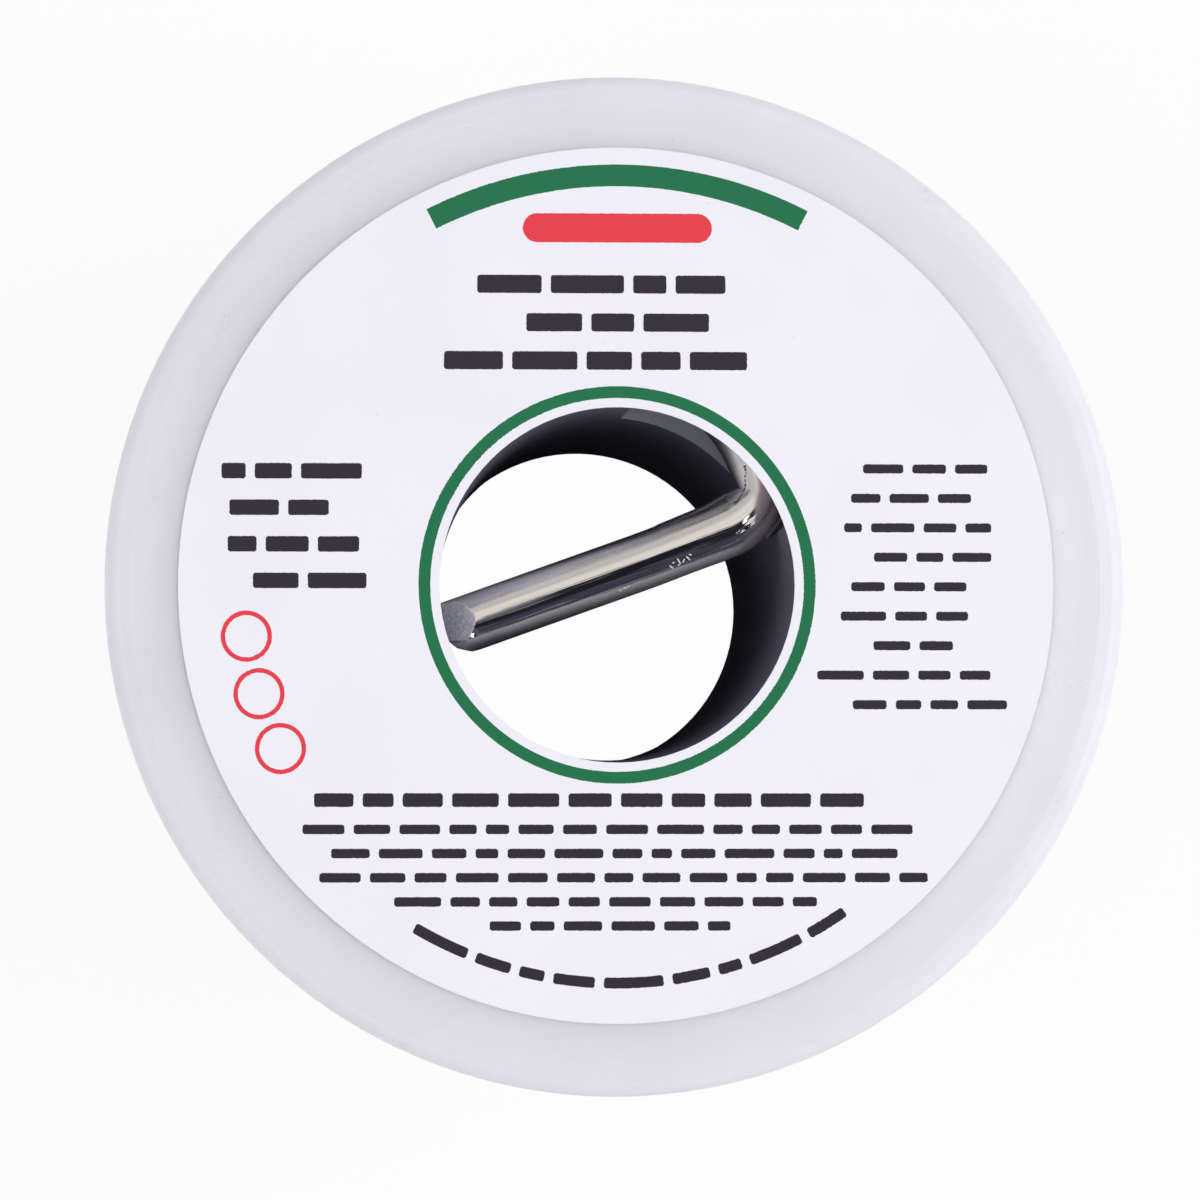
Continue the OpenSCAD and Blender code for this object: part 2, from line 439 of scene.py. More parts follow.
inner_places, bend_rings, cross_heading = inner_route()
inner_end = bend_wire("solder_inner_wire", inner_places, INNER_SIDES)
print("wire crosses the bore at degrees:", round(math.degrees(cross_heading), 2))

# %% [markdown]
# ## Creasing the bend
# Pliers bent this thick wire sharply. Its inside folded into a sharp crease with a swelling
# beside it, and its outside was stretched a little flatter and turned rough. The rings of the
# mesh near the bend are pushed in from the inside by a short table of depths, and from the
# outside by a smooth bump. A second stored value says how strongly each place was stretched,
# and the finish is rougher there.

# %% Measures of the crease
CREASE = [      # degrees into the bend, and how many millimetres its inside is pushed in
    (0, 0),
    (17, 0.08),
    (30, 0.25),
    (45, -0.07),
    (68, -0.32),
    (90, -0.31),
    (98, -0.22),
    (112, -0.13),
    (150, -0.05),
    (200, 0),
]
FLATTEN = 0.12 * MM          # how far the outside is flattened
FLAT_REACH = 1.3             # how far from the middle of the bend, in halves of the bend
BURR = 0.035 * MM            # how uneven the stretched skin is
RINGS_BEFORE = 8             # rings before and past the bend that are still shaped
RINGS_PAST = 12
degrees_each = math.degrees(BEND_TURN) / len(bend_rings)
print("rings in the bend:", len(bend_rings), "degrees each:", round(degrees_each, 2))


# %% Helpers for the crease and the torn skin
TORN_TO = 0.5                # how far over the wire the torn skin reaches: 0 is half way
TORN_FULL = 35               # it reaches so far up to this many degrees into the bend
TORN_FADE = 44               # and then less and less
TORN_GAIN = 2.2              # how much stronger it is than the flattening
TORN_EDGE = 4                # how sharp its edge is


def degrees_at(route, ring):
    """How many degrees into the bend a ring lies. They go on past its end."""
    if ring > bend_rings[-1]:
        past = (route[ring] - route[bend_rings[-1]]).length
        return math.degrees(BEND_TURN + past / BEND_R)
    return (ring - bend_rings[0] + 1) * degrees_each


def crease_depth(degrees):
    for (low, before), (high, after) in zip(CREASE, CREASE[1:]):
        if low <= degrees < high:
            return (before + (after - before) * (degrees - low) / (high - low)) * MM
    return 0.0


def how_torn(degrees, part, flat):
    """part is 1 at the very inside of the bend and -1 at its outside."""
    torn_to = min(TORN_TO, TORN_TO - (degrees - TORN_FULL) / TORN_FADE)
    return min(1.0, TORN_GAIN * flat) * min(max(torn_to - part, 0) * TORN_EDGE, 1)


# %% Crease the bend
def crease_bend(piece, route, sides):
    mesh = piece.data
    stretched = [0.0] * len(mesh.vertices)
    half = math.degrees(BEND_TURN) / 2
    for i in range(bend_rings[0] - RINGS_BEFORE, bend_rings[-1] + RINGS_PAST):
        degrees = degrees_at(route, i)
        off = abs(degrees - half) / half
        flat = max(0.0, 1 - (off / FLAT_REACH) ** 2)
        inside = (route[i + 1] - route[i - 1]).normalized().cross(UP)
        for k in range(i * sides, (i + 1) * sides):
            place = mesh.vertices[k].co
            part = (place - route[i]).dot(inside) / WIRE_R
            if part > 0:
                place -= inside * crease_depth(degrees) * part
            else:
                uneven = BURR * waver(1.9 * i + 2.3 * (k % sides), seed=0.7)
                uneven *= min(1.0, -part * 1.5)
                place += inside * flat * (FLATTEN * part * part + uneven)
            stretched[k] = how_torn(degrees, part, flat)
            mesh.vertices[k].co = place
    stored = mesh.attributes.new("worked", "FLOAT", "POINT")
    stored.data.foreach_set("value", stretched)
    smooth(piece)
    print("points that were stretched:", sum(value > 0 for value in stretched))


crease_bend(inner_end, inner_places, INNER_SIDES)

# %% [markdown]
# ## Cutting the ends
# Side cutters press two blades into the wire, so a cut end is a blunt wedge with slanted, matt
# faces and rounded corners. Each face is a bisect of the mesh that also fills the hole, and a
# small bevel rounds the edges. Only faces on the last stretch of the wire are selected, because a
# plane goes on for ever and would cut the other turns too: the stored distance along the wire
# tells them apart. The new faces get a second finish of their own.

# %% Helpers that choose the faces
REACH = 3 * WIRE_D           # the last stretch of the wire, the only one that is cut
SLIVER = 0.05 * MM           # points closer than this are merged after the cuts
FLUSH = 0.999                # how well a new face's normal agrees with its cut


def on_last_stretch(mesh):
    """For each point, whether it lies on the end of the wire."""
    along = [stored.vector.z for stored in mesh.attributes["straight"].data]
    start = max(along) - REACH
    return [length > start for length in along]


def select_last_stretch(mesh):
    near = on_last_stretch(mesh)
    bpy.ops.object.mode_set(mode="EDIT")
    bpy.ops.mesh.select_mode(type="FACE")
    bpy.ops.mesh.select_all(action="DESELECT")
    bpy.ops.object.mode_set(mode="OBJECT")
    for face in mesh.polygons:
        face.select = all(near[k] for k in face.vertices)


def mark_cut_faces(mesh, planes):
    """Gives the faces that lie in a cut the second material slot. The wire has the first."""
    mesh.materials.append(None)
    mesh.materials.append(None)
    near = on_last_stretch(mesh)
    for face in mesh.polygons:
        flush = any(
            face.normal.dot(normal) > FLUSH and abs((face.center - point).dot(normal)) < SLIVER
            for point, normal in planes
        )
        face.material_index = int(flush and all(near[k] for k in face.vertices))
    return sum(face.material_index for face in mesh.polygons)


# %% A helper that nips off a wire
def cutting_planes(tip, forward, slants, walls):
    side = forward.cross(UP)
    planes = []
    for distance, to_side, upwards in slants:
        normal = (forward + side * to_side + UP * upwards).normalized()
        planes.append((tip + forward * (distance * MM), normal))
    for degrees, distance in walls:
        normal = Vector((math.cos(math.radians(degrees)), math.sin(math.radians(degrees)), 0))
        planes.append((normal * (distance * MM), normal))
    return planes


def nip(piece, tip, forward, slants, walls=()):
    """Cuts the end of a wire at its tip.

    A slant is a face's distance from the tip along the wire, and how steeply it leans to the
    wire's side and upwards. A wall is a direction from the axis in degrees and a distance from
    it. The distances are in millimetres.
    """
    planes = cutting_planes(tip, forward, slants, walls)
    select_only(piece)
    for point, normal in planes:
        select_last_stretch(piece.data)
        bpy.ops.object.mode_set(mode="EDIT")
        bpy.ops.mesh.bisect(plane_co=point, plane_no=normal, use_fill=True, clear_outer=True)
        bpy.ops.object.mode_set(mode="OBJECT")
    bpy.ops.object.mode_set(mode="EDIT")
    bpy.ops.mesh.select_all(action="SELECT")
    bpy.ops.mesh.remove_doubles(threshold=SLIVER)
    bpy.ops.mesh.normals_make_consistent(inside=False)
    bpy.ops.object.mode_set(mode="OBJECT")
    print(piece.name, "cut faces:", mark_cut_faces(piece.data, planes))


# %% A helper that rounds the cut
EDGE_ROUND = 0.07 * MM
EDGE_SEGMENTS = 3
EDGE_FROM = 24               # edges that turn by fewer degrees than this stay as they are
CUT_SMOOTH = 30


def round_cut_edges(piece):
    select_only(piece)
    bevel = piece.modifiers.new("round the cut", "BEVEL")
    bevel.width = EDGE_ROUND
    bevel.segments = EDGE_SEGMENTS
    bevel.limit_method = "ANGLE"
    bevel.angle_limit = math.radians(EDGE_FROM)
    bpy.ops.object.modifier_apply(modifier=bevel.name)
    smooth(piece, CUT_SMOOTH)
    print(piece.name, "faces after rounding:", len(piece.data.polygons))


# %% Nip off the inner end
PAST_TIP = 2.82 * MM         # what is cut off
INNER_SLANTS = [
    (1.85, 0.42, 1.55),
    (2.06, -0.5, 1.2),
    (1.3, 0, -1.1),
    (4.65, -3.0, -0.3),
    (1.85, -1.0, -0.3),
    (1.43, -0.5, -0.3),
]
INNER_WALLS = [(186, 9.62), (196, 9.62), (228, 8.28), (252, 5.84), (264, 4.42)]
inner_forward = Vector((math.cos(cross_heading), math.sin(cross_heading), 0))
inner_tip = inner_places[-1] - inner_forward * PAST_TIP
nip(inner_end, inner_tip, inner_forward, INNER_SLANTS, INNER_WALLS)
round_cut_edges(inner_end)

# %% Nip off the free end
FREE_SLANTS = [(-0.5, 0.85, 0.1), (-0.4, -0.95, -0.15)]
free_forward = (outer_places[-1] - outer_places[-2]).normalized()
nip(outer_turns, outer_places[-1], free_forward, FREE_SLANTS)
round_cut_edges(outer_turns)

# %% [markdown]
# ## Finishes
# Every finish is built from nodes, so that it has no pictures to load and is sharp at any size.
# A few short helpers keep the recipes readable: one adds a node, one does arithmetic, one starts
# a material, and a few make the shapes that the recipes share, such as a fine wandering line.


# %% Helpers that add a node
def join(tree, socket, value):
    if hasattr(value, "is_output"):
        tree.links.new(value, socket)
    else:
        socket.default_value = value


def add(tree, kind, values=None, **settings):
    node = tree.nodes.new(kind)
    for key, value in settings.items():
        setattr(node, key, value)
    for key, value in (values or {}).items():
        join(tree, node.inputs[key], value)
    return node


def calc(tree, operation, *values):
    node = tree.nodes.new("ShaderNodeMath")
    node.operation = operation
    for socket, value in zip(node.inputs, values):
        join(tree, socket, value)
    return node.outputs[0]


def mix(tree, factor, low, high):
    """Mixes two colours. These are the places of a colour mix among the node's many sockets."""
    node = tree.nodes.new("ShaderNodeMix")
    node.data_type = "RGBA"
    join(tree, node.inputs[0], factor)
    join(tree, node.inputs[6], low)
    join(tree, node.inputs[7], high)
    return node.outputs[2]


def noise(tree, vector, scale, detail=2.0, roughness=0.5, distortion=0.0):
    values = {"Vector": vector, "Scale": scale, "Detail": detail}
    values.update({"Roughness": roughness, "Distortion": distortion})
    return add(tree, "ShaderNodeTexNoise", values).outputs["Fac"]


def ramp(tree, value, low, high, to_low=0.0, to_high=1.0):
    """Maps low..high to to_low..to_high, with nothing outside them."""
    values = {"Value": value, "From Min": low, "From Max": high}
    values.update({"To Min": to_low, "To Max": to_high})
    return add(tree, "ShaderNodeMapRange", values).outputs["Result"]


def bump(tree, height, depth, strength=1.0, onto=None):
    """Depth is in metres, for a height between 0 and 1."""
    values = {"Height": height, "Distance": depth, "Strength": strength}
    if onto is not None:
        values["Normal"] = onto
    return add(tree, "ShaderNodeBump", values).outputs["Normal"]


# %% Helpers that the recipes share
def scaled(tree, vector, scale):
    return add(tree, "ShaderNodeMapping", {"Vector": vector, "Scale": scale}).outputs[0]


def in_millimetres(tree, vector):
    return scaled(tree, vector, (1 / MM, 1 / MM, 1 / MM))


def millimetres(tree):
    """Object coordinates in millimetres."""
    return in_millimetres(tree, add(tree, "ShaderNodeTexCoord").outputs["Object"])


def off_middle(tree, value):
    """A noise lies between 0 and 1, so this lies as often below 0 as above it."""
    return calc(tree, "SUBTRACT", value, 0.5)


def hairline(tree, value, width):
    """1 where a noise crosses its middle, which is a fine wandering line."""
    return calc(tree, "LESS_THAN", calc(tree, "ABSOLUTE", off_middle(tree, value)), width)


def between(tree, value, low, high):
    above = calc(tree, "GREATER_THAN", value, low)
    return calc(tree, "MULTIPLY", above, calc(tree, "LESS_THAN", value, high))


def any_of(tree, *masks):
    total = masks[0]
    for mask in masks[1:]:
        total = calc(tree, "MAXIMUM", total, mask)
    return total


def new_material(name, **values):
    material = bpy.data.materials.new(name)
    material.use_nodes = True
    tree = material.node_tree
    shader = tree.nodes["Principled BSDF"]
    for key, value in values.items():
        shader.inputs[key.replace("_", " ")].default_value = value
    return material, tree, shader


def report(material):
    print(material.name, "nodes:", len(material.node_tree.nodes))


# %% [markdown]
# ## Milky plastic
# The flanges are thin moulded plastic that light sinks into, so shadows in it are soft. The
# surface is a fine satin, with faint flow marks and a few nicks and scuffs from being handled.

# %% Mix the milky plastic
MILKY = (0.74, 0.725, 0.79, 1)
MILKY_PALE = (0.765, 0.75, 0.808, 1)     # where a flow mark clouds it
MILKY_MARK = (0.42, 0.40, 0.45, 1)       # dirt in a nick or a speck
MARK_SHOWN = 0.45                        # how strongly that dirt shows
MILKY_SCATTER = 2.5 * MM                 # how far light goes under the skin
NICK_DEPTH = 0.03 * MM


def milky_plastic():
    material, tree, shader = new_material(
        "milky_plastic",
        Roughness=0.42,
        IOR=1.49,
        Subsurface_Weight=0.6,
        Subsurface_Radius=(1.0, 0.95, 1.0),
        Subsurface_Scale=MILKY_SCATTER,
    )
    place = millimetres(tree)
    cloud = noise(tree, place, 0.12, detail=3)
    tint = mix(tree, ramp(tree, cloud, 0.35, 0.65), MILKY, MILKY_PALE)
    patch = ramp(tree, noise(tree, place, 0.30), 0.66, 0.70)
    hair = noise(tree, place, 0.9, detail=1, distortion=1.2)
    nick = calc(tree, "MULTIPLY", hairline(tree, hair, 0.004), patch)
    speck = calc(tree, "GREATER_THAN", noise(tree, place, 2.6, detail=1), 0.83)
    mark = calc(tree, "MAXIMUM", nick, speck)
    colour = mix(tree, calc(tree, "MULTIPLY", mark, MARK_SHOWN), tint, MILKY_MARK)
    join(tree, shader.inputs["Base Color"], colour)
    fine = noise(tree, place, 9.0, detail=3)
    join(tree, shader.inputs["Roughness"], ramp(tree, fine, 0.3, 0.7, 0.36, 0.5))
    rough = bump(tree, fine, 0.004 * MM)
    join(tree, shader.inputs["Normal"], bump(tree, mark, -NICK_DEPTH, onto=rough))
    return material


milky = milky_plastic()
report(milky)

# %% [markdown]
# ## Black plastic
# The hub is an extruded tube of black plastic with a dull skin. Inside a deep bore a surface
# looks much darker than it is, so its colour here is a dark grey. The die has left faint lines
# along it, which are noise that is stretched along the axis. The notch was sawn out afterwards,
# and its floor is a paler, scraped grey. That floor is the only face in sight that looks up, and
# the paler grey goes on every face that looks up, so it is also painted light, as if lit from
# above.

# %% Mix the black plastic
BLACK = (0.150, 0.146, 0.205, 1)
BLACK_CLEAN = (0.135, 0.131, 0.185, 1)     # where there is no dust
# paler grey for faces that look up: the sawn floor, and also painted light as if lit from above
SAWN_AND_LIT = (0.355, 0.36, 0.445, 1)
DIE_STRETCH = (3, 3, 0.04)                 # the lines are long along the axis and close across it


def black_plastic():
    material, tree, shader = new_material(
        "black_plastic",
        Base_Color=BLACK,
        Roughness=0.55,
        IOR=1.5,
        Specular_IOR_Level=0.08,
    )
    place = millimetres(tree)
    lines = noise(tree, scaled(tree, place, DIE_STRETCH), 1.4, detail=3)
    dust = noise(tree, place, 1.2, detail=4)
    tone = mix(tree, ramp(tree, dust, 0.3, 0.7), BLACK_CLEAN, BLACK)
    normal = add(tree, "ShaderNodeNewGeometry").outputs["True Normal"]
    facing_up = add(tree, "ShaderNodeSeparateXYZ", {"Vector": normal}).outputs["Z"]
    # faces that look up get the paler grey: partly the sawn floor, partly painted light
    tone = mix(tree, ramp(tree, facing_up, 0.7, 0.85), tone, SAWN_AND_LIT)
    join(tree, shader.inputs["Base Color"], tone)
    join(tree, shader.inputs["Roughness"], ramp(tree, dust, 0.3, 0.7, 0.48, 0.62))
    join(tree, shader.inputs["Normal"], bump(tree, lines, 0.004 * MM))
    return material


black = black_plastic()
report(black)

# %% [markdown]
# ## Solder
# Solder is drawn through a die, so it shines like a mirror across the wire and is smeared along
# it by fine lines. Two sides of a wire lie pressed against its neighbours on the spool, and
# there it is rubbed dull: a tarnished skin scatters light and is less of a metal. The wire on the
# spool is also darker in long patches, which differ from turn to turn. On the inner end the
# pliers left more. The outside of the bend is torn and matt, the inside is crushed and chalky
# with a row of pits along its fold, and small dents and scratches catch the light. The pits are
# dark spots of painted shade, as the mesh has no hollows there. The chalk is thinned out where
# the hub's rim shades the wire and along the wire's edge on the notch floor, which paints shade
# there. Each of these marks is an oval that is squeezed and turned into its place.

# %% Where the solder is rubbed dull
WOBBLE = 0.5             # how far the fine lines shift the edge of a dull side, in millimetres
CLOUD_WOBBLE = 0.3
SIDE_SHIFT = 0.2         # how far the dull sides move over the fade
RIM_FROM = 0.92          # from here outwards the dull side is bright again
RIM_SHIFT = 0.5
STRIPE_EDGE = (0.97, 1.12)
STRIPE_BAND = (1.08, 1.5)
STRIPE_DULL = 0.75       # at the inner edge of the band
STRIPE_FADED = 0.45      # at its outer edge, before the fade


def rubbed_sides(tree, across, to_end, fine, cloud, rubbed_from):
    """How dull the two sides are. to_end is 0 before the fade along the wire and 1 after it."""
    uneven = calc(tree, "MULTIPLY", off_middle(tree, fine), WOBBLE)
    uneven = calc(tree, "MULTIPLY_ADD", off_middle(tree, cloud), CLOUD_WOBBLE, uneven)
    flank = calc(tree, "ADD", across, uneven)
    flank = calc(tree, "MULTIPLY_ADD", to_end, SIDE_SHIFT, flank)
    rim = calc(tree, "MULTIPLY_ADD", to_end, RIM_SHIFT, RIM_FROM)
    bright = ramp(tree, calc(tree, "SUBTRACT", across, rim), 0, 0.3, 0, 0.9)
    side = ramp(tree, flank, *rubbed_from)
    side = calc(tree, "MULTIPLY", side, calc(tree, "SUBTRACT", 1, bright))
    other = calc(tree, "MULTIPLY_ADD", to_end, SIDE_SHIFT, calc(tree, "MULTIPLY", across, -1))
    other = calc(tree, "MULTIPLY_ADD", uneven, 0.5, other)
    faded = calc(tree, "MULTIPLY_ADD", to_end, -STRIPE_FADED, STRIPE_FADED)
    stripe = ramp(tree, other, *STRIPE_BAND, STRIPE_DULL, faded)
    stripe = calc(tree, "MULTIPLY", stripe, ramp(tree, other, *STRIPE_EDGE))
    dull_line = ramp(tree, fine, 0.54, 0.66, 0, 0.30)
    return any_of(tree, side, stripe, dull_line)


print("a dull stripe starts this far from the wire's middle, mm:", STRIPE_EDGE[0])

# %% Where the bend crushed it, with painted shade near the rim
CHALK_IN_RIM_SHADE = 0.15           # how chalky it is where the hub's rim shades the wire; less chalk there is painted shade
CHALK_OUT_OF_RIM_SHADE = (-3.2, -0.2)   # it grows between these places, in millimetres from the bend's start, out of the rim's painted shade
CHALK_FADES = (1.0, -0.2)    # it fades from 1 mm past the bend's start to 0.2 short of its end
CHALK_FROM = (0.65, 1.0)     # it begins this far to the wire's side
CHALK_EDGE_SHADE = (1.05, 1.50)     # and fades out towards the wire's edge on the notch floor, a painted line of shade
CHALK_UNEVEN = 0.7           # how far the fine lines shift its inner edge


def crushed_fold_and_shade(tree, parts, fine, bend):
    """The chalky inside of the bend, thinned out as painted shade near the hub's rim and along the
    wire's edge. bend is where it starts and ends along the wire.
    """
    start, end = bend
    side, along = parts.outputs["X"], parts.outputs["Z"]
    grows = [start + distance for distance in CHALK_OUT_OF_RIM_SHADE]
    # less chalk towards the hub's rim: painted shade of the rim
    chalk_and_shade = ramp(tree, along, *grows, CHALK_IN_RIM_SHADE, 1)
    spread = ramp(tree, along, start + CHALK_FADES[0], end + CHALK_FADES[1], 1, 0)
    chalk_and_shade = calc(tree, "MULTIPLY", chalk_and_shade, spread)
    folded = calc(tree, "MULTIPLY_ADD", off_middle(tree, fine), CHALK_UNEVEN, side)
    chalk_and_shade = calc(tree, "MULTIPLY", chalk_and_shade, ramp(tree, folded, *CHALK_FROM))
    # no chalk at the wire's edge on the notch floor: a painted line of shade
    return calc(tree, "MULTIPLY", chalk_and_shade, ramp(tree, side, *CHALK_EDGE_SHADE, 1, 0.0))


print("the chalk grows over this stretch, mm:", CHALK_OUT_OF_RIM_SHADE[1] - CHALK_OUT_OF_RIM_SHADE[0])

# %% Nicks, scratches, pits and dents
SCRATCH_WIDTH = 0.085            # millimetres
NICK_STRETCH = (1.8, 1.8, 1.0)   # a random nick is a little longer along the wire
PIT_EDGE = (0.9, 1.5)            # a pit fades out between these shares of its size


def oval(tree, place, centre, size, degrees=0):
    """0 in the middle of an oval spot and 1 on its rim. size holds its three half lengths."""
    values = {"Vector": place, "Location": centre, "Rotation": (0, math.radians(degrees), 0)}
    values["Scale"] = size
    inside = add(tree, "ShaderNodeMapping", values, vector_type="TEXTURE").outputs[0]
    return add(tree, "ShaderNodeVectorMath", {0: inside}, operation="LENGTH").outputs["Value"]


def random_nicks(tree, place):
    spots = ramp(tree, noise(tree, place, 0.45), 0.66, 0.70)
    hair = noise(tree, scaled(tree, place, NICK_STRETCH), 1.6, detail=2, distortion=1.5)
    return calc(tree, "MULTIPLY", hairline(tree, hair, 0.018), spots)


def listed_nicks(tree, place, scratches):
    nick = 0.0
    for centre, half_length, degrees in scratches:
        size = (SCRATCH_WIDTH / 2, 1, half_length)
        scratch = calc(tree, "LESS_THAN", oval(tree, place, centre, size, degrees), 1)
        nick = calc(tree, "MAXIMUM", nick, scratch)
    return nick


# Dark spots of painted shade for the pits along the fold; the mesh has no hollows there.
def pit_shade_spots(tree, place, pits):
    hole = 0.0
    for centre, half_width, half_length in pits:
        spot = oval(tree, place, centre, (half_width, 1, half_length))
        hole = calc(tree, "MAXIMUM", hole, ramp(tree, spot, *PIT_EDGE, 1, 0))
    return hole


def dented(tree, place, normal, dents):
    for centre, radius, depth, stretch in dents:
        size = (radius, radius, radius * stretch)
        hollow = ramp(tree, oval(tree, place, centre, size), 0, 1, 1, 0)
        normal = bump(tree, hollow, -depth * MM, onto=normal)
    return normal


print("scratches are this wide, mm:", SCRATCH_WIDTH)

# %% How much of a metal it is
DULL_METAL = 0.50        # what is left of the metal where it is rubbed dull
NICK_METAL = 0.3
CRUSHED_METAL = 0.1


def how_metallic(tree, dull, nick, crushed):
    metal = ramp(tree, dull, 0, 1, 1.0, DULL_METAL)
    metal = calc(tree, "MINIMUM", metal, ramp(tree, nick, 0, 1, 1.0, NICK_METAL))
    return calc(tree, "MINIMUM", metal, ramp(tree, crushed, 0, 1, 1.0, CRUSHED_METAL))


print("rubbed dull, it is this much of a metal:", DULL_METAL)

# %% The recipe for solder
SOLDER = (0.80, 0.78, 0.75, 1)
SOLDER_DARK = (0.68, 0.66, 0.64, 1)
TARNISH = (0.79, 0.775, 0.85, 1)
TORN = (0.50, 0.41, 0.45, 1)     # the outside of the bend, where it was stretched
CHALK = (0.84, 0.83, 0.86, 1)    # the inside of the bend, where the skin was crushed
FRESH = (0.92, 0.91, 0.91, 1)    # bare metal in a nick
# painted shade: the colour of the pits' dark spots
PIT_SHADE = (0.04, 0.035, 0.045, 1)
DRAWN = (1, 1, 0.02)             # the die's lines are fifty times longer than they are wide
PATCHY = 0.35                    # the share of long patches in its unevenness, beside fine lines
FROST_CRUSHED = 0.7              # how crushed the torn skin is, beside the chalk
DULL_ROUGHNESS = 0.42
NICK_ROUGHNESS = 0.5
SOLDER_NICK_DEPTH = 0.02 * MM


def solder(
    name,
    roughness,
    line_depth,
    tints,
    rubbed,
    rubbed_from,
    fades=(0, 1),
    scratches=(),
    pits=(),
    dents=(),
    bend=None,
):
    """tints are the metal's colour where it is clean and where it is darkest.

    rubbed is the direction of the dull sides, X sideways or Y up. One is dull all over, between
    the two distances in rubbed_from, and the other has a dull stripe.
    fades is the stretch along the wire over which the dull sides change. bend is the stretch
    where it was bent. scratches, pits and dents list their places in the stored straight
    coordinates. All of these are in millimetres. A wire without listed scratches has random ones.
    """
    material, tree, shader = new_material(name, Metallic=1.0, Base_Color=SOLDER)
    straight = add(tree, "ShaderNodeAttribute", attribute_name="straight").outputs["Vector"]
    worked = add(tree, "ShaderNodeAttribute", attribute_name="worked").outputs["Fac"]
    place = in_millimetres(tree, straight)
    parts = add(tree, "ShaderNodeSeparateXYZ", {"Vector": place})
    drawn = scaled(tree, place, DRAWN)
    wide = noise(tree, drawn, 1.3, detail=1)
    fine = noise(tree, drawn, 5.0, detail=3, roughness=0.6)
    lines = calc(tree, "ADD", calc(tree, "MULTIPLY", wide, 0.5), calc(tree, "MULTIPLY", fine, 0.5))
    cloud = noise(tree, place, 0.5, detail=3)
    to_end = ramp(tree, parts.outputs["Z"], *fades)
    dull = rubbed_sides(tree, parts.outputs[rubbed], to_end, fine, cloud, rubbed_from)
    torn = ramp(tree, noise(tree, drawn, 2.2, detail=3), 0.36, 0.62, 0.1, 1.0)
    frost = calc(tree, "MULTIPLY", worked, torn)
    dull = calc(tree, "MAXIMUM", dull, frost)
    chalk_and_shade = 0.0
    if bend:
        chalk_and_shade = crushed_fold_and_shade(tree, parts, fine, bend)
        dull = calc(tree, "MAXIMUM", dull, chalk_and_shade)
    nick = listed_nicks(tree, place, scratches) if scratches else random_nicks(tree, place)
    worn = ramp(tree, noise(tree, drawn, 0.55, detail=2), 0.40, 0.60)
    worn = calc(tree, "MULTIPLY_ADD", worn, PATCHY, ramp(tree, fine, 0.35, 0.65, 0, 1 - PATCHY))
    colour = mix(tree, dull, mix(tree, worn, *tints), mix(tree, worked, TARNISH, TORN))
    # the chalk, with its painted shade near the rim and at the wire's edge
    colour = mix(tree, chalk_and_shade, colour, CHALK)
    colour = mix(tree, nick, colour, FRESH)
    # the pits, painted as dark spots of shade
    colour = mix(tree, pit_shade_spots(tree, place, pits), colour, PIT_SHADE)
    join(tree, shader.inputs["Base Color"], colour)
    crushed = calc(tree, "MAXIMUM", chalk_and_shade, calc(tree, "MULTIPLY", frost, FROST_CRUSHED))
    join(tree, shader.inputs["Metallic"], how_metallic(tree, dull, nick, crushed))
    shine = ramp(tree, dull, 0, 1, roughness, DULL_ROUGHNESS)
    shine = calc(tree, "MAXIMUM", shine, calc(tree, "MULTIPLY", nick, NICK_ROUGHNESS))
    join(tree, shader.inputs["Roughness"], shine)
    normal = bump(tree, nick, -SOLDER_NICK_DEPTH, onto=bump(tree, lines, line_depth))
    join(tree, shader.inputs["Normal"], dented(tree, place, normal, dents))
    return material


# %% Mix the solder of the wound wire
WOUND = (0.70, 0.69, 0.68, 1)    # the wire on the spool is older, and uneven from turn to turn
WORN = (0.40, 0.395, 0.41, 1)
wound_solder = solder("wound_solder", 0.16, 0.03 * MM, (WOUND, WORN), "Y", (1.05, 1.45))
report(wound_solder)

# %% List the marks on the inner end
lengths = [(there - here).length for here, there in zip(inner_places, inner_places[1:])]
bend_start = sum(lengths[: bend_rings[0]]) / MM
bend_end = sum(lengths[: bend_rings[-1]]) / MM
tip_along = (sum(lengths) - PAST_TIP) / MM
print("along the wire mm, the bend:", round(bend_start, 2), "to", round(bend_end, 2))
print("along the wire mm, the tip:", round(tip_along, 2))
SCRATCHES = [   # place, half of the length, and how many degrees it is turned from the wire
    ((-0.62, 1.46, bend_end + 2.62), 0.09, 35),
    ((-0.76, 1.39, bend_end + 2.80), 0.17, 62),
    ((-0.80, 1.36, bend_end + 3.08), 0.13, -40),
    ((-0.74, 1.40, bend_end + 3.34), 0.20, 78),
    ((-0.92, 1.30, bend_end + 3.42), 0.07, -15),
    ((-0.70, 1.42, bend_end + 3.66), 0.08, 20),
    ((-0.88, 1.32, bend_end + 3.84), 0.14, 55),
    ((-1.06, 1.16, bend_end + 6.40), 0.06, 80),
    ((-1.08, 1.14, bend_end + 6.62), 0.10, 15),
    ((-1.12, 1.10, bend_end + 6.90), 0.07, 60),
]
PITS = [        # place, and half of the width and of the length
    ((0.80, 1.36, bend_start - 0.52), 0.060, 0.06),
    ((0.83, 1.36, bend_start - 0.33), 0.050, 0.07),
    ((0.88, 1.33, bend_start - 0.08), 0.030, 0.05),
    ((0.97, 1.25, bend_start + 0.14), 0.045, 0.07),
    ((1.02, 1.20, bend_start + 0.52), 0.030, 0.13),
    ((1.06, 1.18, bend_start + 0.88), 0.050, 0.10),
    ((1.11, 1.12, bend_start + 1.30), 0.035, 0.26),
    ((1.00, 1.22, bend_start + 1.85), 0.025, 0.34),
    ((0.94, 1.28, bend_start + 2.55), 0.025, 0.36),
]
